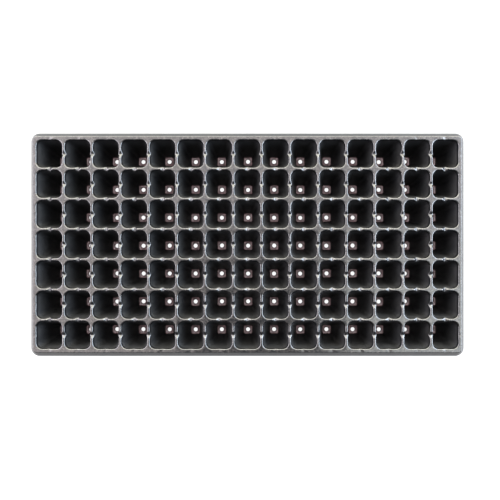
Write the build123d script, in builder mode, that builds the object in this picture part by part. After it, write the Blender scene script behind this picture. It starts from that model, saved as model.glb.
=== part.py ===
from build123d import *

import math
import os

# Plug tray: one vacuum-formed plastic sheet with 15 x 7 tapered cells, a flat deck and a flared skirt.
#
# The sheet is a single moulding. Here it is divided along its natural lines into regions: the walls and
# the floors of each row of cells, the deck strips around the cell block, and the skirt's sides and corners.
# Each cell is divided on its diagonals, so that it stays a hollow cup between separate wall panels.
#
# Frame: X along the tray, Y across it, Z up. The origin is under the middle of the tray, on the bench.

# Driving dimensions, in millimetres
tray_length = 540.0
tray_width = 278.0
tray_height = 44.0
sheet = 0.8  # deck and skirt
drawn_sheet = 0.5  # walls and floors of the cells, where forming stretches the sheet

columns = 15
rows = 7
pitch_x = 34.9
pitch_y = 37.25

mouth_length = 31.5
mouth_width = 33.85
mouth_radius = 6.5
floor_side = 11.2
floor_radius = 2.4
drain_diameter = 6.0
corner_flats = 4

notch_length = 6.4
notch_depth = 2.4

skirt_run = 6.0
skirt_drop = 7.4
lip_drop = 2.6
lip_corner_radius = 10.5

# Sizes that follow from them
block_length = columns * pitch_x
block_width = rows * pitch_y
deck_length = tray_length - 2 * skirt_run
deck_width = tray_width - 2 * skirt_run
deck_corner_radius = lip_corner_radius - skirt_run
deck_underside = tray_height - sheet
corner_axis_x = deck_length / 2 - deck_corner_radius
corner_axis_y = deck_width / 2 - deck_corner_radius
over = 1.0  # how far a cutting tool passes the faces that it cuts


def rounded_outline(length, width, radius):
    """Corner points of a rectangle whose rounded corners are worked as flats."""
    points = []
    for quarter, (sx, sy) in enumerate(((1, 1), (-1, 1), (-1, -1), (1, -1))):
        centre_x = sx * (length / 2 - radius)
        centre_y = sy * (width / 2 - radius)
        for step in range(corner_flats + 1):
            angle = math.radians(90 * (quarter + step / corner_flats))
            points.append((centre_x + radius * math.cos(angle), centre_y + radius * math.sin(angle)))
    return points


def tapered_planes(upper, upper_z, lower, lower_z):
    """Planes through matching edges of an upper and a lower outline, their normals outwards."""
    planes = []
    for index, (x, y) in enumerate(upper):
        start = Vector(x, y, upper_z)
        along = Vector(*upper[(index + 1) % len(upper)], upper_z) - start
        down = Vector(*lower[index], lower_z) - start
        planes.append(Plane(origin=start, x_dir=along, z_dir=down.cross(along)))
    return planes


# The outside and the inside of a cell, each a block trimmed to its tapered faces
mouth = rounded_outline(mouth_length, mouth_width, mouth_radius)
mouth_outside = rounded_outline(
    mouth_length + 2 * drawn_sheet, mouth_width + 2 * drawn_sheet, mouth_radius + drawn_sheet
)
floor_inside = rounded_outline(floor_side, floor_side, floor_radius)
floor_outside = rounded_outline(
    floor_side + 2 * drawn_sheet, floor_side + 2 * drawn_sheet, floor_radius + drawn_sheet
)

with BuildPart() as cell_outside:
    with BuildSketch():
        Rectangle(pitch_x + 2 * over, pitch_y + 2 * over)
    extrude(amount=tray_height)
    for plane in tapered_planes(mouth_outside, tray_height, floor_outside, 0):
        split(bisect_by=plane, keep=Keep.BOTTOM)

with BuildPart() as cell_inside:
    with BuildSketch(Plane.XY.offset(drawn_sheet)):
        Rectangle(pitch_x + 2 * over, pitch_y + 2 * over)
    extrude(amount=tray_height - drawn_sheet)
    for plane in tapered_planes(mouth, tray_height, floor_inside, drawn_sheet):
        split(bisect_by=plane, keep=Keep.BOTTOM)

# One whole cell with its share of the deck, out to the middle of the ridges around it
with BuildPart() as cell:
    add(cell_outside.part)
    with BuildSketch(Plane.XY.offset(deck_underside)):
        Rectangle(pitch_x, pitch_y)
    extrude(amount=sheet)
    add(cell_inside.part, mode=Mode.SUBTRACT)
    with BuildSketch():
        Circle(drain_diameter / 2)
    extrude(amount=drawn_sheet, mode=Mode.SUBTRACT)


def sector(side):
    """Plan triangle of one side of the cell: 0 is +X, 1 is +Y, 2 is -X and 3 is -Y."""
    corners = ((pitch_x, -pitch_y), (pitch_x, pitch_y), (-pitch_x, pitch_y), (-pitch_x, -pitch_y))
    return [(0, 0), corners[side], corners[(side + 1) % 4]]


def notch_band():
    """Section of the sheet where it dips through a ridge: a shallow V of even thickness."""
    half = notch_length / 2
    return [
        (-half, tray_height),
        (0, tray_height - notch_depth),
        (half, tray_height),
        (half, deck_underside),
        (0, deck_underside - notch_depth),
        (-half, deck_underside),
    ]


def wall_panel(side):
    """One wall of a cell: panel, half of each corner, half of the ridge, and the notch in its middle."""
    turn = Plane.XY.rotated((0, 0, 90 * side))
    across, mouth_across = ((pitch_x, mouth_length), (pitch_y, mouth_width))[side % 2]
    profile_plane = Plane(origin=(0, 0, 0), x_dir=turn.y_dir, z_dir=turn.x_dir)
    half = notch_length / 2
    with BuildPart() as panel:
        add(cell.part)
        with BuildSketch(Plane.XY.offset(drawn_sheet)):
            Polygon(*sector(side), align=None)
        extrude(amount=tray_height, mode=Mode.INTERSECT)
        with BuildSketch(profile_plane.offset(mouth_across / 2 - notch_depth)):
            Polygon(
                (-half, tray_height),
                (0, tray_height - notch_depth),
                (half, tray_height),
                align=None,
            )
        extrude(amount=notch_depth + (across - mouth_across) / 2, mode=Mode.SUBTRACT)
        with BuildSketch(profile_plane.offset(mouth_across / 2)):
            Polygon(*notch_band(), align=None)
        extrude(amount=(across - mouth_across) / 2)
    return panel.part


def floor_quarter(side):
    """One quarter of a cell's floor, around a quarter of the drain hole."""
    with BuildPart() as quarter:
        add(cell.part)
        with BuildSketch():
            Polygon(*sector(side), align=None)
        extrude(amount=drawn_sheet, mode=Mode.INTERSECT)
    return quarter.part


# Rows of cells, from the front of the tray to the back: their walls and their floors. The panels of a row
# meet face to face along the diagonals and the ridges, so they are gathered without being fused.
wall_panels = [wall_panel(side) for side in range(4)]
floor_quarters = [floor_quarter(side) for side in range(4)]


def row_of(pieces, row):
    """Every cell of one row, made of the given pieces of a cell, each its own solid."""
    centres = [
        Location(((column - (columns - 1) / 2) * pitch_x, (row - (rows - 1) / 2) * pitch_y, 0))
        for column in range(columns)
    ]
    return Compound(children=[centre * piece for centre in centres for piece in pieces])


os.makedirs("parts", exist_ok=True)
for row in range(rows):
    cell_walls = row_of(wall_panels, row)
    cell_walls.label = f"cell_walls_row_{row + 1}"
    export_step(cell_walls, f"parts/{cell_walls.label}.step")
    cell_floors = row_of(floor_quarters, row)
    cell_floors.label = f"cell_floors_row_{row + 1}"
    export_step(cell_floors, f"parts/{cell_floors.label}.step")

# Deck around the block of cells, out to the rounded edge where the skirt begins
border_x = (deck_length - block_length) / 2
border_y = (deck_width - block_width) / 2
strips = {
    "deck_front": ((0, -(block_width + border_y) / 2), deck_length, border_y),
    "deck_back": ((0, (block_width + border_y) / 2), deck_length, border_y),
    "deck_left": ((-(block_length + border_x) / 2, 0), border_x, block_width),
    "deck_right": (((block_length + border_x) / 2, 0), border_x, block_width),
}
for name, (centre, length, width) in strips.items():
    with BuildPart() as strip:
        with BuildSketch(Plane.XY.offset(deck_underside)):
            RectangleRounded(deck_length, deck_width, deck_corner_radius)
            with Locations(centre):
                Rectangle(length, width, mode=Mode.INTERSECT)
        extrude(amount=sheet)
    strip.part.label = name
    export_step(strip.part, f"parts/{name}.step")


def skirt_profile():
    """Section of the skirt, outwards from the deck's edge: a sloped side, then an upright lip."""
    slope_foot = tray_height - skirt_drop
    lip_foot = slope_foot - lip_drop
    return [
        (0, tray_height),
        (skirt_run, slope_foot),
        (skirt_run, lip_foot),
        (skirt_run - sheet, lip_foot),
        (skirt_run - sheet, slope_foot),
        (-sheet, deck_underside),
        (0, deck_underside),
    ]


# Sides of the skirt: each a straight run between two corners
skirt_sides = {
    "skirt_front": (-90, deck_width / 2, 2 * corner_axis_x),
    "skirt_back": (90, deck_width / 2, 2 * corner_axis_x),
    "skirt_left": (180, deck_length / 2, 2 * corner_axis_y),
    "skirt_right": (0, deck_length / 2, 2 * corner_axis_y),
}
for name, (heading, deck_edge, run) in skirt_sides.items():
    outward = Vector(1, 0, 0).rotate(Axis.Z, heading)
    section = Plane(origin=outward * deck_edge, x_dir=outward, z_dir=outward.cross(Vector(0, 0, 1)))
    with BuildPart() as side:
        with BuildSketch(section):
            Polygon(*skirt_profile(), align=None)
        extrude(amount=run / 2, both=True)
    side.part.label = name
    export_step(side.part, f"parts/{name}.step")

# Corners of the skirt: the same section turned a quarter of the way round an upright axis
skirt_corners = {
    "skirt_corner_back_right": (0, 1, 1),
    "skirt_corner_back_left": (90, -1, 1),
    "skirt_corner_front_left": (180, -1, -1),
    "skirt_corner_front_right": (270, 1, -1),
}
for name, (heading, sx, sy) in skirt_corners.items():
    axis_foot = Vector(sx * corner_axis_x, sy * corner_axis_y, 0)
    outward = Vector(1, 0, 0).rotate(Axis.Z, heading)
    section = Plane(
        origin=axis_foot + outward * deck_corner_radius,
        x_dir=outward,
        z_dir=outward.cross(Vector(0, 0, 1)),
    )
    with BuildPart() as corner:
        with BuildSketch(section):
            Polygon(*skirt_profile(), align=None)
        revolve(axis=Axis(axis_foot, (0, 0, 1)), revolution_arc=90)
    corner.part.label = name
    export_step(corner.part, f"parts/{name}.step")
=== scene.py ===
"""Plug tray: one vacuum-formed black sheet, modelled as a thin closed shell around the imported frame.

Each row of cells is one piece, and the border (deck and skirt) is another. They meet along the middle of
the ridges, where the sheet is level, so the shell reads as the one moulding that it is. Lengths are metres.
"""

import math
import random

import bmesh
import bpy
import numpy as np
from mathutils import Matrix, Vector


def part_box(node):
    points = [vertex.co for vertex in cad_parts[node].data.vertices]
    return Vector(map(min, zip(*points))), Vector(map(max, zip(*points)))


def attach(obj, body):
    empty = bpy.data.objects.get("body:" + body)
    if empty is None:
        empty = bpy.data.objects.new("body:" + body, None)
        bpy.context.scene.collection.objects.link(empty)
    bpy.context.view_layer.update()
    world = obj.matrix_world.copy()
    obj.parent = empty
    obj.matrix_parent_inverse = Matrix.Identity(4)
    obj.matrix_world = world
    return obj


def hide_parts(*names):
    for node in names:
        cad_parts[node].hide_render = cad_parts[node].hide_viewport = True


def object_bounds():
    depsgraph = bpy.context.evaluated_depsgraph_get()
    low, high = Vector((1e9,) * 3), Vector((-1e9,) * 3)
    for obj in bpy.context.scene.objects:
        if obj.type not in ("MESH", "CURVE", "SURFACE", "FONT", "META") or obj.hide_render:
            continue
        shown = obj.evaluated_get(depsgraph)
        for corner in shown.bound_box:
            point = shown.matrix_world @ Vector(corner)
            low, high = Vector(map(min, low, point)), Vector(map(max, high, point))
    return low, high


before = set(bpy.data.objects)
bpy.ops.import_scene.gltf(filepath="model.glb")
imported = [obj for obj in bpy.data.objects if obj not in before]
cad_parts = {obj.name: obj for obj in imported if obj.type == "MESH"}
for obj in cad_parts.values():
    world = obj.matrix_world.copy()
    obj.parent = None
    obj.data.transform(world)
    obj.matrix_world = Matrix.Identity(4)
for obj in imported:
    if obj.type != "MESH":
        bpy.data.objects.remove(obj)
cad_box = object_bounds()

MM = 0.001
COLUMNS = 15
ROWS = 7

# Places, from the frame
low, high = (Vector(corner) for corner in cad_box)
row_low, row_high = (Vector(corner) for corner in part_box("cell_walls_row_1"))
skirt_corner_low = Vector(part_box("skirt_corner_back_right")[0])
deck_right_high = Vector(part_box("deck_right")[1])

DECK_Z = high.z
PITCH_X = (row_high.x - row_low.x) / COLUMNS
PITCH_Y = row_high.y - row_low.y
BLOCK_X = COLUMNS * PITCH_X / 2  # half the length of the block of cells
BLOCK_Y = ROWS * PITCH_Y / 2  # half its width
DECK_EDGE_X = deck_right_high.x
SKIRT_RUN = high.x - DECK_EDGE_X
CORNER_AXIS_X = skirt_corner_low.x
CORNER_AXIS_Y = skirt_corner_low.y
LIP_FOOT_Z = skirt_corner_low.z

# Shape of a cell. Mouths and floors are given by their half sides.
RIDGE_HALF = 1.5 * MM
MOUTH = (PITCH_X / 2 - RIDGE_HALF, PITCH_Y / 2 - RIDGE_HALF)
MOUTH_RADIUS = 7.2 * MM
FLOOR = (5.6 * MM, 5.6 * MM)
FLOOR_RADIUS = 2.4 * MM
FLOOR_Z = 0.85 * MM
EDGE_RADIUS = 1.2 * MM
FOOT_RADIUS = 1.0 * MM
DISH_TOP = 4.1 * MM
DISH_FOOT = 3.7 * MM
DISH_DEPTH = 0.4 * MM
DRAIN_RADIUS = 2.75 * MM
MOST_LEAN = 0.25 * MM  # the most that a floor may have drawn off the middle of its cell, each way

# Notch in the middle of each ridge: narrow on the ridge, and wider down the walls on both sides
NOTCH_HALF = 2.9 * MM
NOTCH_FLARE = 2.2 * MM
NOTCH_DEPTH = 2.2 * MM
NOTCH_SPREAD = (0.85, 1.1)  # the shallowest and the deepest, as shares of that
NOTCH_BULGE = 0.7 * MM  # how far the walls swell into the cells below a notch
BULGE_FADE = 9 * MM  # how far down the walls the swelling is gone
OUTER_NOTCH_Y = 0.18  # share of the depth left in the ridges along the front and the back
OUTER_NOTCH_X = 0.1  # share of the depth left in the ridges along the two ends

# Thickness of the sheet, which forming stretches thinner towards the floors
DECK_SHEET = 0.75 * MM
WALL_SHEET = 0.5 * MM
FLOOR_SHEET = 0.44 * MM

# Skirt
SKIRT_DROP = 7.4 * MM
SKIRT_EDGE_RADIUS = 0.9 * MM
SKIRT_BEND_RADIUS = 1.6 * MM
TRIM_WANDER = 0.25 * MM

# Steps that arcs and walls are built in. A cell's corner has an even number of them, so that one station
# falls on the corner of its pitch.
CELL_CORNER_STEPS = 8
EDGE_STEPS = 6
WALL_STEPS = 9
FOOT_STEPS = 4
BORDER_CORNER_STEPS = 10
BEND_STEPS = 5
NOTCH_STATIONS = np.array([0, 0.35, 0.75, 1.2, 1.7, 2.2, 2.7, 3.2, 3.8, 4.8, 6.6]) * MM  # from its middle
DECK_SHARES = (0, 0.2, 0.45, 0.7, 0.88)  # of the way from the cells to where the deck's edge rounds

# Sides in order, right, back, left and front, and the corner that follows each of them
OUTWARD = ((1, 0), (0, 1), (-1, 0), (0, -1))
CORNERS = ((1, 1), (-1, 1), (-1, -1), (1, -1))
QUARTER = math.pi / 2  # of a turn

WELD = 0.001 * MM
SAME_PLACE = 0.0001 * MM
NEARLY_ZERO = 1e-12
SHARP_ANGLE = math.radians(55)


def notch_shape(along, depth, half):
    """How far the deck dips at a distance from the middle of a notch of a depth and a half width.

    The notch is a V with a rounded foot and rounded shoulders.
    """
    foot_round = 0.12
    shoulder_round = 0.10
    away = np.sqrt((along / half) ** 2 + foot_round**2) - foot_round
    rise = 1 - away
    return depth * 0.5 * (rise + np.sqrt(rise**2 + shoulder_round**2))


def side_stations(straight):
    """Places along one straight side of a mouth, -1 to 1, closest together at the notch."""
    half = NOTCH_STATIONS[NOTCH_STATIONS < straight] / straight
    return np.concatenate([-half[:0:-1], half])


def cell_outline():
    """Stations round a cell: multipliers of the straight half sides, the heading of the wall there, and
    the number of the side, or -1 in a corner.
    """
    stations = []
    for side, ((out_x, out_y), (corner_x, corner_y)) in enumerate(zip(OUTWARD, CORNERS)):
        heading = side * QUARTER
        straight = (MOUTH[0] if side % 2 else MOUTH[1]) - MOUTH_RADIUS
        for place in side_stations(straight):
            stations.append((out_x - out_y * place, out_y + out_x * place, heading, side))
        for step in range(CELL_CORNER_STEPS + 1):
            turn = step / CELL_CORNER_STEPS * QUARTER
            stations.append((corner_x, corner_y, heading + turn, -1))
    return np.array(stations)


OUTLINE = cell_outline()
COUNT = len(OUTLINE)
HEADING = OUTLINE[:, 2]
SIDE_OF = OUTLINE[:, 3].astype(int)
ON_SIDE = SIDE_OF >= 0
ALONG = np.where(
    SIDE_OF % 2 == 0,
    OUTLINE[:, 1] * (MOUTH[1] - MOUTH_RADIUS),
    OUTLINE[:, 0] * (MOUTH[0] - MOUTH_RADIUS),
)


def ring(half_x, half_y, radius):
    """Plan points of a rounded rectangle at every station; the sizes may differ from station to station."""
    x = OUTLINE[:, 0] * (half_x - radius) + radius * np.cos(HEADING)
    y = OUTLINE[:, 1] * (half_y - radius) + radius * np.sin(HEADING)
    return x, y


def pitch_ring():
    """Plan points on the middle lines of the ridges, straight out from the mouth's stations."""
    x, y = ring(*MOUTH, MOUTH_RADIUS)
    for number, heading in enumerate(HEADING):
        cos, sin = math.cos(heading), math.sin(heading)
        reach_x = (PITCH_X / 2 - abs(x[number])) / abs(cos) if abs(cos) > NEARLY_ZERO else math.inf
        reach_y = (PITCH_Y / 2 - abs(y[number])) / abs(sin) if abs(sin) > NEARLY_ZERO else math.inf
        reach = min(reach_x, reach_y)
        x[number] += reach * cos
        y[number] += reach * sin
    return x, y


def taper(z):
    """Half sides and corner radius of a cell's inside at a height."""
    share = (z - FLOOR_Z) / (DECK_Z - FLOOR_Z)
    half_x = FLOOR[0] + (MOUTH[0] - FLOOR[0]) * share
    half_y = FLOOR[1] + (MOUTH[1] - FLOOR[1]) * share
    return half_x, half_y, FLOOR_RADIUS + (MOUTH_RADIUS - FLOOR_RADIUS) * share


def sheet_normals(points, facing):
    """Unit normals of a grid of points, rings by stations, the stations closing on themselves.

    They are turned to the side that the facing vectors point to.
    """
    round_way = np.roll(points, -1, axis=1) - np.roll(points, 1, axis=1)
    down_way = np.gradient(points, axis=0)
    normals = np.cross(down_way, round_way)
    length = np.linalg.norm(normals, axis=2, keepdims=True)
    normals = normals / np.maximum(length, NEARLY_ZERO)
    return normals * np.where(np.sum(normals * facing, axis=2, keepdims=True) < 0, -1, 1)


def cut_normals(points, half_x, half_y):
    """Normals round the cut edge of the sheet, a rectangle: upright, and square to the edge's own slope.

    On each side the slope is taken along that side alone, so that two pieces that meet there agree.
    """
    tangents = np.roll(points, -1, axis=0) - np.roll(points, 1, axis=0)
    on_x = np.abs(np.abs(points[:, 0]) - half_x) < SAME_PLACE
    on_y = np.abs(np.abs(points[:, 1]) - half_y) < SAME_PLACE
    tangents[on_x, 0] = 0
    tangents[on_y, 1] = 0
    tangents[on_x & on_y] = (0.0, 0.0, 0.0)
    tangents /= np.maximum(np.linalg.norm(tangents, axis=1, keepdims=True), NEARLY_ZERO)
    up = np.array([0.0, 0.0, 1.0])
    normals = up - tangents * tangents[:, 2:3]
    return normals / np.linalg.norm(normals, axis=1, keepdims=True)


def cell_rings(depths):
    """Points of one cell's top side, rings by stations, and the thickness of the sheet at each ring.

    The rings run from the middle of the ridges in to the drain hole. depths holds the depth of the notch on
    each of the four sides.
    """
    depth = np.where(ON_SIDE, np.array(depths)[SIDE_OF], 0.0)

    def dipped(flare):
        """Height of the deck's line at every station, with the notches flared by the given share."""
        dip = notch_shape(ALONG, depth, NOTCH_HALF + flare * NOTCH_FLARE)
        return DECK_Z - np.where(ON_SIDE, dip, 0.0)

    swell = notch_shape(ALONG, depth / NOTCH_DEPTH, NOTCH_HALF + NOTCH_FLARE / 2)
    swell = np.where(ON_SIDE, swell, 0.0)

    def swollen(x, y, share):
        """Plan points moved into the cell by the given share of the bulge below a notch."""
        inset = NOTCH_BULGE * share * swell
        return x - inset * np.cos(HEADING), y - inset * np.sin(HEADING)

    # the middle of the ridges
    rings = [(*pitch_ring(), dipped(0))]
    sheets = [DECK_SHEET]

    # over the ridge's rounded edge
    flare_at_ridge, flare_at_wall = 0.2, 0.7
    for step in range(EDGE_STEPS + 1):
        share = step / EDGE_STEPS
        turn = share * QUARTER
        line = dipped(flare_at_ridge + (flare_at_wall - flare_at_ridge) * share)
        z = line - EDGE_RADIUS * (1 - math.cos(turn))
        out = EDGE_RADIUS * (1 - math.sin(turn))
        x, y = ring(*(size + out for size in taper(z)))
        rings.append((*swollen(x, y, math.sin(turn) ** 2), z))
        sheets.append(DECK_SHEET + (WALL_SHEET - DECK_SHEET) * share)

    # down the wall, in steps that grow
    flare_per_step = 0.15
    growth = 1.5
    foot = FLOOR_Z + FOOT_RADIUS
    for step in range(1, WALL_STEPS + 1):
        share = (step / WALL_STEPS) ** growth
        top = dipped(min(1.0, flare_at_wall + step * flare_per_step)) - EDGE_RADIUS
        z = top + (foot - top) * share
        fade = np.clip(1 - (top - z) / BULGE_FADE, 0, 1) ** 2
        x, y = ring(*taper(z))
        rings.append((*swollen(x, y, fade), z))
        sheets.append(WALL_SHEET)

    # round the foot
    for step in range(1, FOOT_STEPS + 1):
        share = step / FOOT_STEPS
        turn = share * QUARTER
        z = np.full(COUNT, FLOOR_Z + FOOT_RADIUS * (1 - math.sin(turn)))
        inset = FOOT_RADIUS * (1 - math.cos(turn))
        x, y = ring(*(size - inset for size in taper(z)))
        rings.append((x, y, z))
        sheets.append(WALL_SHEET + (FLOOR_SHEET - WALL_SHEET) * share)

    # across the floor, down into the dish and in to the drain hole
    heading = np.arctan2(y, x)
    for radius, drop in (
        (DISH_TOP, 0),
        ((DISH_TOP + DISH_FOOT) / 2, DISH_DEPTH / 2),
        (DISH_FOOT, DISH_DEPTH),
        (DRAIN_RADIUS, DISH_DEPTH),
    ):
        rings.append((radius * np.cos(heading), radius * np.sin(heading), np.full(COUNT, FLOOR_Z - drop)))
        sheets.append(FLOOR_SHEET)
    return np.array([np.stack(points, axis=1) for points in rings]), np.array(sheets)


def cell_shell(depths, lean):
    """Top and bottom points of one cell about its own middle, rings by stations.

    lean is how far its floor has drawn off the middle.
    """
    top, sheets = cell_rings(depths)
    # the lean begins well below the notches, so that the ridges stay on their lines
    lean_begins = DECK_Z - 3 * NOTCH_DEPTH
    share = np.clip((lean_begins - top[:, :, 2]) / DECK_Z, 0, 1)
    top[:, :, 0] += lean[0] * share
    top[:, :, 1] += lean[1] * share

    # the top side faces up on the ridges and the floor, and towards the cell's middle on the walls
    facing = -top / 2
    facing[:, :, 2] = 20 * MM
    normals = sheet_normals(top, facing)
    normals[0] = cut_normals(top[0], PITCH_X / 2, PITCH_Y / 2)
    normals[-1] = (0.0, 0.0, 1.0)
    return top, top - normals * sheets[:, None, None]


def warp(points):
    """The slight waviness of a thin sheet: it only ever lowers the deck, by up to 0.4 millimetres."""
    x, y = points[:, 0], points[:, 1]
    # three crossing waves of unequal height, their numbers in radians per metre
    first = np.sin(23 * x + 1.3) * np.cos(31 * y + 0.4)
    second = np.sin(57 * x + 41 * y + 2.1)
    third = np.cos(96 * x - 73 * y + 0.9)
    heights = (0.09 * MM, 0.063 * MM, 0.045 * MM)
    wave = heights[0] * first + heights[1] * second + heights[2] * third
    share = np.clip(points[:, 2] / DECK_Z, 0, 1) ** 2
    warped = points.copy()
    warped[:, 2] -= share * (wave + sum(heights))
    return warped


def make_piece(name, points, faces, material):
    """A mesh object from points and faces, with coincident points welded, that rides on the tray."""
    mesh = bpy.data.meshes.new(name)
    mesh.from_pydata(warp(points).tolist(), [], faces.tolist())
    shell = bmesh.new()
    shell.from_mesh(mesh)
    bmesh.ops.remove_doubles(shell, verts=shell.verts, dist=WELD)
    shell.to_mesh(mesh)
    shell.free()
    mesh.materials.append(material)
    mesh.polygons.foreach_set("use_smooth", [True] * len(mesh.polygons))
    mesh.set_sharp_from_angle(angle=SHARP_ANGLE)
    mesh.update()
    piece = bpy.data.objects.new(name, mesh)
    bpy.context.scene.collection.objects.link(piece)
    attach(piece, "root")
    return piece


def quads(a, b, c, d, turned):
    """Faces from four arrays of corners, in order round each face, or the other way round if turned."""
    return np.stack([d, c, b, a] if turned else [b, c, d, a], axis=-1).reshape(-1, 4)


def grid_faces(rings, count, start, turned):
    """Faces of a grid of rings by stations whose points begin at index start."""
    ring_at, station = np.meshgrid(np.arange(rings - 1), np.arange(count), indexing="ij")
    here = start + ring_at * count
    after = (station + 1) % count
    return quads(here + station, here + after, here + count + after, here + count + station, turned)


def edge_faces(top_start, bottom_start, count, turned):
    """Faces between a ring of the top side and the same ring of the bottom, from their first indices."""
    station = np.arange(count)
    after = (station + 1) % count
    a, b = top_start + station, bottom_start + station
    c, d = bottom_start + after, top_start + after
    return quads(a, b, c, d, turned)


# Each notch is a little deeper or shallower than the next: first those in the ridges between columns, then
# those in the ridges between rows. Each floor has its own lean.
SEED = 105
draws = random.Random(SEED)
COLUMN_NOTCHES = [
    [NOTCH_DEPTH * draws.uniform(*NOTCH_SPREAD) for _ in range(COLUMNS + 1)] for _ in range(ROWS)
]
ROW_NOTCHES = [
    [NOTCH_DEPTH * draws.uniform(*NOTCH_SPREAD) for _ in range(COLUMNS)] for _ in range(ROWS + 1)
]
LEANS = [
    [(draws.uniform(-MOST_LEAN, MOST_LEAN), draws.uniform(-MOST_LEAN, MOST_LEAN)) for _ in range(COLUMNS)]
    for _ in range(ROWS)
]
# In the ridges around the outside of the block the notches are hardly there
for notches in COLUMN_NOTCHES:
    notches[0] *= OUTER_NOTCH_X
    notches[COLUMNS] *= OUTER_NOTCH_X
for outer_row in (0, ROWS):
    ROW_NOTCHES[outer_row] = [depth * OUTER_NOTCH_Y for depth in ROW_NOTCHES[outer_row]]


def build_row(row, material):
    """One row of cells as a closed piece of the sheet, cut through along the middle of its ridges."""
    points, faces = [], []
    start = 0
    for column in range(COLUMNS):
        depths = (
            COLUMN_NOTCHES[row][column + 1],
            ROW_NOTCHES[row + 1][column],
            COLUMN_NOTCHES[row][column],
            ROW_NOTCHES[row][column],
        )
        top, bottom = cell_shell(depths, LEANS[row][column])
        rings = len(top)
        middle = np.array([(column + 0.5) * PITCH_X - BLOCK_X, (row + 0.5) * PITCH_Y - BLOCK_Y, 0])
        points += [(top + middle).reshape(-1, 3), (bottom + middle).reshape(-1, 3)]
        top_start, bottom_start = start, start + rings * COUNT
        start += 2 * rings * COUNT
        last = (rings - 1) * COUNT
        faces.append(grid_faces(rings, COUNT, top_start, False))
        faces.append(grid_faces(rings, COUNT, bottom_start, True))
        faces.append(edge_faces(top_start + last, bottom_start + last, COUNT, True))

        # the cut edge is closed where no other cell of the row carries on
        here = top[0][:, 0]
        there = np.roll(here, -1)
        cut = np.ones(COUNT, bool)
        if column < COLUMNS - 1:
            cut &= np.minimum(here, there) <= PITCH_X / 2 - SAME_PLACE
        if column > 0:
            cut &= np.maximum(here, there) >= SAME_PLACE - PITCH_X / 2
        faces.append(edge_faces(top_start, bottom_start, COUNT, False)[cut])

    piece = make_piece(f"cell_row_{row + 1}", np.concatenate(points), np.concatenate(faces), material)
    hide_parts(f"cell_walls_row_{row + 1}", f"cell_floors_row_{row + 1}")


def rounded_path(corners, radii, steps):
    """A polyline with its inner corners rounded by arcs, as a list of points."""
    path = [corners[0]]
    for before, corner, after, radius in zip(corners, corners[1:], corners[2:], radii):
        corner = np.array(corner)
        back = np.array(before) - corner
        on = np.array(after) - corner
        back, on = back / np.linalg.norm(back), on / np.linalg.norm(on)
        half = math.acos(np.clip(np.dot(back, on), -1, 1)) / 2
        centre = corner + (back + on) / np.linalg.norm(back + on) * radius / math.sin(half)
        first = corner + back * radius / math.tan(half)
        last = corner + on * radius / math.tan(half)
        for step in range(steps + 1):
            blend = first + (last - first) * step / steps
            out = blend - centre
            path.append(tuple(centre + out / np.linalg.norm(out) * radius))
    path.append(corners[-1])
    return path


def block_edge(side):
    """The cut edge of the cells along one side of the block, in order: each station's place along the side,
    its distance from the notch beside it, and that notch's depth.
    """
    x, y = pitch_ring()
    if side % 2:
        pitch, block = PITCH_X, BLOCK_X
        chosen = np.where(y > PITCH_Y / 2 - SAME_PLACE)[0]
        places = x[chosen]
        notches = ROW_NOTCHES[ROWS if side == 1 else 0]
    else:
        pitch, block = PITCH_Y, BLOCK_Y
        chosen = np.where(x > PITCH_X / 2 - SAME_PLACE)[0]
        places = y[chosen]
        notches = [row_notches[COLUMNS if side == 0 else 0] for row_notches in COLUMN_NOTCHES]
    order = np.argsort(places)
    chosen, places = chosen[order], places[order]
    edge = []
    for cell, depth in enumerate(notches):
        middle = (cell + 0.5) * pitch - block
        shared = 1 if cell else 0  # a cell's first station is the last one of the cell before
        for station, place in zip(chosen[shared:], places[shared:]):
            edge.append((place + middle, place, depth if ON_SIDE[station] else 0.0))
    return edge


def border_plan():
    """Stations round the block, one row each: the plan point on its edge, the point that it is carried out
    to on the lines through the corners' axes, the direction on from there, and the notch as in block_edge.
    """
    stations = []
    hold = 4 * MM  # how far from a corner's axis the stations begin to draw in to it
    for side, (outward, (corner_x, corner_y)) in enumerate(zip(OUTWARD, CORNERS)):
        edge = block_edge(side)
        if side in (1, 2):
            edge = edge[::-1]
        block = BLOCK_X if side % 2 else BLOCK_Y
        axis = CORNER_AXIS_X if side % 2 else CORNER_AXIS_Y
        straight_to = axis - hold
        for place, from_notch, depth in edge:
            size = abs(place)
            if size > straight_to:
                size = straight_to + (size - straight_to) * (axis - straight_to) / (block - straight_to)
            carried = math.copysign(size, place)
            if side % 2:
                inner, foot = (place, outward[1] * BLOCK_Y), (carried, outward[1] * CORNER_AXIS_Y)
            else:
                inner, foot = (outward[0] * BLOCK_X, place), (outward[0] * CORNER_AXIS_X, carried)
            stations.append((*inner, *foot, *outward, from_notch, depth))
        inner = (corner_x * BLOCK_X, corner_y * BLOCK_Y)
        foot = (corner_x * CORNER_AXIS_X, corner_y * CORNER_AXIS_Y)
        for step in range(1, BORDER_CORNER_STEPS):
            turn = (side + step / BORDER_CORNER_STEPS) * QUARTER
            stations.append((*inner, *foot, math.cos(turn), math.sin(turn), 0, 0))
    return np.array(stations)


def skirt_path():
    """Section of the border from near the deck's edge to the lip's foot: (reach from the axis, height)."""
    deck_radius = DECK_EDGE_X - CORNER_AXIS_X
    lip = deck_radius + SKIRT_RUN
    corners = [
        (deck_radius - 2 * SKIRT_EDGE_RADIUS, DECK_Z),
        (deck_radius, DECK_Z),
        (lip, DECK_Z - SKIRT_DROP),
        (lip, LIP_FOOT_Z),
    ]
    return rounded_path(corners, [SKIRT_EDGE_RADIUS, SKIRT_BEND_RADIUS], BEND_STEPS)[1:]


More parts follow.
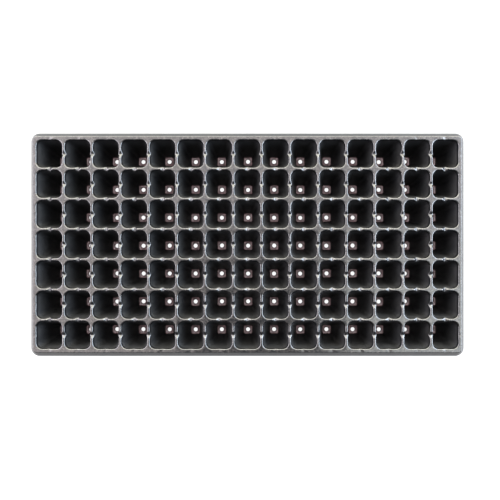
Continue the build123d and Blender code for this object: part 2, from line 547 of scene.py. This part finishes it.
def build_border(material):
    """The deck round the cells, its rounded edge, the sloped skirt and the lip, as a closed piece."""
    plan = border_plan()
    inner, foot, outward = plan[:, 0:2], plan[:, 2:4], plan[:, 4:6]
    from_notch, depth = plan[:, 6], plan[:, 7]
    path = skirt_path()

    def dip(share):
        """How deep the notches are at a share of the way across the deck: they widen and run out."""
        loss = 0.35
        return notch_shape(from_notch, depth * (1 - loss * share), NOTCH_HALF + share * NOTCH_FLARE)

    first = foot + outward * path[0][0]
    rings = [
        np.column_stack([inner + (first - inner) * share, DECK_Z - dip(share)]) for share in DECK_SHARES
    ]
    dip_foot = 0.7 * SKIRT_DROP  # how far down the skirt the last of them is gone
    for reach, z in path:
        fade = max(0.0, 1 - (DECK_Z - z) / dip_foot)
        rings.append(np.column_stack([foot + outward * reach, z - dip(1) * fade]))
    # the lip's foot wanders a little where the sheet was trimmed
    x, y = inner.T
    rings[-1][:, 2] += TRIM_WANDER * (1 + np.sin(61 * x + 47 * y) * np.cos(23 * x + 1))
    top = np.array(rings)

    facing = np.zeros_like(top)
    facing[:, :, :2] = outward
    facing[:, :, 2] = 1.0
    normals = sheet_normals(top, facing)
    normals[0] = cut_normals(top[0], BLOCK_X, BLOCK_Y)
    normals[-1, :, 2] = 0
    normals[-1] /= np.linalg.norm(normals[-1], axis=1, keepdims=True)
    bottom = top - normals * DECK_SHEET

    count = len(plan)
    total = len(top) * count
    last = total - count
    faces = [
        grid_faces(len(top), count, 0, True),
        grid_faces(len(top), count, total, False),
        edge_faces(0, total, count, True),
        edge_faces(last, total + last, count, False),
    ]
    points = np.concatenate([top.reshape(-1, 3), bottom.reshape(-1, 3)])
    piece = make_piece("border", points, np.concatenate(faces), material)
    sides = ("front", "back", "left", "right")
    corners = ("front_left", "front_right", "back_left", "back_right")
    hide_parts(*(f"deck_{s}" for s in sides), *(f"skirt_{s}" for s in sides))
    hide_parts(*(f"skirt_corner_{c}" for c in corners))


class Nodes:
    """A new material with its node tree, and short ways to add what these materials are made of."""

    def __init__(self, name):
        self.material = bpy.data.materials.new(name)
        self.material.use_nodes = True
        self.tree = self.material.node_tree
        self.tree.nodes.clear()
        self.shader = self.add("ShaderNodeBsdfPrincipled")
        self.link(self.shader.outputs["BSDF"], self.add("ShaderNodeOutputMaterial").inputs["Surface"])

    def add(self, kind, **settings):
        """A node of a kind, with its settings."""
        node = self.tree.nodes.new(kind)
        for key, value in settings.items():
            setattr(node, key, value)
        return node

    def link(self, output, socket):
        """A link from an output to an input."""
        self.tree.links.new(output, socket)

    def ramp(self, source, stops):
        """The source through a colour ramp with the given (place, grey) stops."""
        node = self.add("ShaderNodeValToRGB")
        elements = node.color_ramp.elements
        while len(elements) < len(stops):
            elements.new(0.5)
        for element, (place, grey) in zip(elements, stops):
            element.position = place
            element.color = (grey, grey, grey, 1)
        self.link(source, node.inputs["Fac"])
        return node.outputs["Color"]

    def map_range(self, source, before, after):
        """The source mapped from one (lowest, highest) range to another."""
        node = self.add("ShaderNodeMapRange")
        node.inputs["From Min"].default_value, node.inputs["From Max"].default_value = before
        node.inputs["To Min"].default_value, node.inputs["To Max"].default_value = after
        self.link(source, node.inputs["Value"])
        return node.outputs["Result"]

    def multiply(self, first, second):
        """The product of two outputs."""
        node = self.add("ShaderNodeMath", operation="MULTIPLY")
        self.link(first, node.inputs[0])
        self.link(second, node.inputs[1])
        return node.outputs[0]

    def noise(self, vector, scale, detail, rough):
        """Noise at a scale, per metre of the vector."""
        node = self.add("ShaderNodeTexNoise")
        node.inputs["Scale"].default_value = scale
        node.inputs["Detail"].default_value = detail
        node.inputs["Roughness"].default_value = rough
        self.link(vector, node.inputs["Vector"])
        return node.outputs["Fac"]

    def mix(self, factor, first, second):
        """The first colour going over to the second, where each is an output or a plain colour."""
        node = self.add("ShaderNodeMix", data_type="RGBA")
        self.link(factor, node.inputs[0])
        for socket, value in ((node.inputs[6], first), (node.inputs[7], second)):
            if isinstance(value, tuple):
                socket.default_value = (*value, 1)
            else:
                self.link(value, socket)
        return node.outputs[2]

    def z_part(self, vector):
        """The Z part of a vector."""
        node = self.add("ShaderNodeSeparateXYZ")
        self.link(vector, node.inputs[0])
        return node.outputs["Z"]


# Colours, in linear light
BLUE_BLACK = (0.0045, 0.0052, 0.0064)
BROWN_BLACK = (0.0070, 0.0068, 0.0066)
# painted light: the mauve that the black floors of the cells are coloured as if lit
FLOOR_LIGHT_MAUVE = (0.340, 0.242, 0.250)
DUST = (0.085, 0.075, 0.070)


def sheet_colour(nodes, place, height):
    """Cloudy black, painted light in brown-mauve on the cells' floors (full on the flat floor, half in the
    dish), and dusty on what faces up.

    height is 0 at the bench and 1 at the deck.
    """
    cloud = nodes.ramp(nodes.noise(place, scale=38.0, detail=5.0, rough=0.6), [(0.35, 0.0), (0.7, 1.0)])
    black = nodes.mix(cloud, BLUE_BLACK, BROWN_BLACK)
    # painted light on the floors: full mauve on the flat floor, half in the dish round the drain hole, gone
    # a little way up the walls
    painted_floor_light = nodes.ramp(height, [(0.0, 0.5), (0.0105, 0.5), (0.018, 1.0), (0.026, 0.9), (0.048, 0.0)])
    body = nodes.mix(painted_floor_light, black, FLOOR_LIGHT_MAUVE)
    normal = nodes.add("ShaderNodeNewGeometry").outputs["Normal"]
    level = nodes.ramp(nodes.z_part(normal), [(0.75, 0.0), (0.98, 1.0)])
    grains = nodes.noise(place, scale=420.0, detail=6.0, rough=0.7)
    specks = nodes.ramp(grains, [(0.42, 0.0), (0.72, 0.5), (0.80, 1.0)])
    return nodes.mix(nodes.multiply(level, specks), body, DUST)


def sheet_relief(nodes, place):
    """Draw lines down the walls, orange peel, and the slow dents of a thin sheet, as a normal."""
    stretch = nodes.add("ShaderNodeMapping")
    stretch.inputs["Scale"].default_value = (900.0, 900.0, 40.0)
    nodes.link(place, stretch.inputs["Vector"])
    draw_lines = nodes.noise(stretch.outputs["Vector"], scale=1.0, detail=2.0, rough=0.5)
    orange_peel = nodes.noise(place, scale=850.0, detail=2.0, rough=0.5)
    dents = nodes.noise(place, scale=45.0, detail=1.0, rough=0.5)
    relief = None
    for source, strength, distance in (
        (draw_lines, 0.45, 0.03 * MM),
        (orange_peel, 0.08, 0.02 * MM),
        (dents, 0.2, 0.10 * MM),
    ):
        bump = nodes.add("ShaderNodeBump")
        bump.inputs["Strength"].default_value = strength
        bump.inputs["Distance"].default_value = distance
        nodes.link(source, bump.inputs["Height"])
        if relief is not None:
            nodes.link(relief, bump.inputs["Normal"])
        relief = bump.outputs["Normal"]
    return relief


def black_sheet_material(name, roughness_stops):
    """Black plastic; roughness_stops give its roughness from the bench, 0, to the deck, 1."""
    nodes = Nodes(name)
    place = nodes.add("ShaderNodeTexCoord").outputs["Object"]
    height = nodes.map_range(nodes.z_part(place), (0, DECK_Z), (0, 1))
    haze = nodes.map_range(nodes.noise(place, scale=90.0, detail=5.0, rough=0.65), (0, 1), (0.70, 1.38))
    roughness = nodes.multiply(nodes.ramp(height, roughness_stops), haze)
    nodes.link(sheet_colour(nodes, place, height), nodes.shader.inputs["Base Color"])
    nodes.link(roughness, nodes.shader.inputs["Roughness"])
    nodes.link(sheet_relief(nodes, place), nodes.shader.inputs["Normal"])
    nodes.shader.inputs["IOR"].default_value = 1.7
    return nodes.material


def floor_material():
    """A plain pale floor, which glows a little so that it stays white under the soft light."""
    nodes = Nodes("pale_floor")
    nodes.shader.inputs["Base Color"].default_value = (0.095, 0.095, 0.095, 1)
    nodes.shader.inputs["Roughness"].default_value = 0.9
    nodes.shader.inputs["Emission Color"].default_value = (1, 1, 1, 1)
    nodes.shader.inputs["Emission Strength"].default_value = 0.65
    return nodes.material


def build_floor():
    """A wide level floor just under the tray."""
    reach = 6.0
    gap = 0.02 * MM
    mesh = bpy.data.meshes.new("studio_floor")
    mesh.from_pydata([(x * reach, y * reach, 0) for x, y in CORNERS], [], [(0, 1, 2, 3)])
    mesh.materials.append(floor_material())
    floor = bpy.data.objects.new("studio_floor", mesh)
    floor.location.z = low.z - gap
    bpy.context.scene.collection.objects.link(floor)


def softbox(name, place, aim, size, watts, colour):
    """A rectangular soft light at a place, turned towards its aim."""
    light = bpy.data.lights.new(name, "AREA")
    light.shape = "RECTANGLE"
    light.size, light.size_y = size
    light.energy = watts
    light.color = colour
    lamp = bpy.data.objects.new(name, light)
    lamp.location = place
    lamp.rotation_euler = (Vector(aim) - Vector(place)).to_track_quat("-Z", "Y").to_euler()
    bpy.context.scene.collection.objects.link(lamp)


def build_lights():
    """Panels above the tray that its deck mirrors, and one at the back and each end for its edges."""
    ceiling = 1.7
    # overhead, a broad panel and two in front of it, with a gap between those for the viewer
    for name, (x, y), size, watts, colour in (
        ("overhead", (0.0, 0.66), (2.8, 1.08), 22.0, (1.0, 0.95, 0.96)),
        ("front_left", (-0.90, -0.33), (1.0, 0.9), 7.2, (1.0, 0.93, 0.91)),
        ("front_right", (0.935, -0.33), (0.93, 0.9), 9.0, (0.97, 1.0, 0.98)),
    ):
        softbox(name, (x, y, ceiling), (x, y, 0), size, watts, colour)
    for name, place, size, watts, colour in (
        ("back", (0.0, 1.7, 1.0), (3.8, 2.2), 182.0, (1.0, 0.98, 0.87)),
        ("right", (1.7, 0.2, 0.95), (2.2, 1.4), 112.0, (0.79, 0.88, 1.0)),
        ("left", (-1.7, 0.2, 0.95), (2.2, 1.4), 70.0, (0.98, 0.93, 1.0)),
    ):
        softbox(name, place, (0, 0, 0), size, watts, colour)


def build_world():
    """A dim, slightly cool grey all round."""
    world = bpy.data.worlds.new("studio")
    world.use_nodes = True
    background = world.node_tree.nodes["Background"]
    background.inputs["Color"].default_value = (0.9, 0.93, 1.0, 1)
    background.inputs["Strength"].default_value = 0.3
    bpy.context.scene.world = world


def build_camera():
    """The camera looks straight down, from a little right of the tray's middle and in front of it."""
    above_deck = 0.505
    field = 0.6149  # width seen at the height of the deck
    camera = bpy.data.cameras.new("camera")
    camera.sensor_width = 36.0
    camera.lens = camera.sensor_width * above_deck / field
    camera.shift_x = -0.0116
    camera.shift_y = 0.018
    camera.clip_start = 0.01
    viewer = bpy.data.objects.new("camera", camera)
    viewer.location = (10.4 * MM, -17.9 * MM, DECK_Z + above_deck)
    bpy.context.scene.collection.objects.link(viewer)
    bpy.context.scene.camera = viewer
    bpy.context.scene.view_settings.view_transform = "Standard"
    bpy.context.scene.view_settings.look = "High Contrast"


# The deck is glossy, and the drawn walls are matt where the sheet has stretched
drawn_sheet = black_sheet_material(
    "drawn_sheet", [(0.03, 0.24), (0.10, 0.68), (0.50, 0.54), (0.90, 0.60), (0.975, 0.23)]
)
flat_sheet = black_sheet_material("flat_sheet", [(0.0, 0.23), (1.0, 0.23)])
for row in range(ROWS):
    build_row(row, drawn_sheet)
build_border(flat_sheet)
build_floor()
build_lights()
build_world()
build_camera()
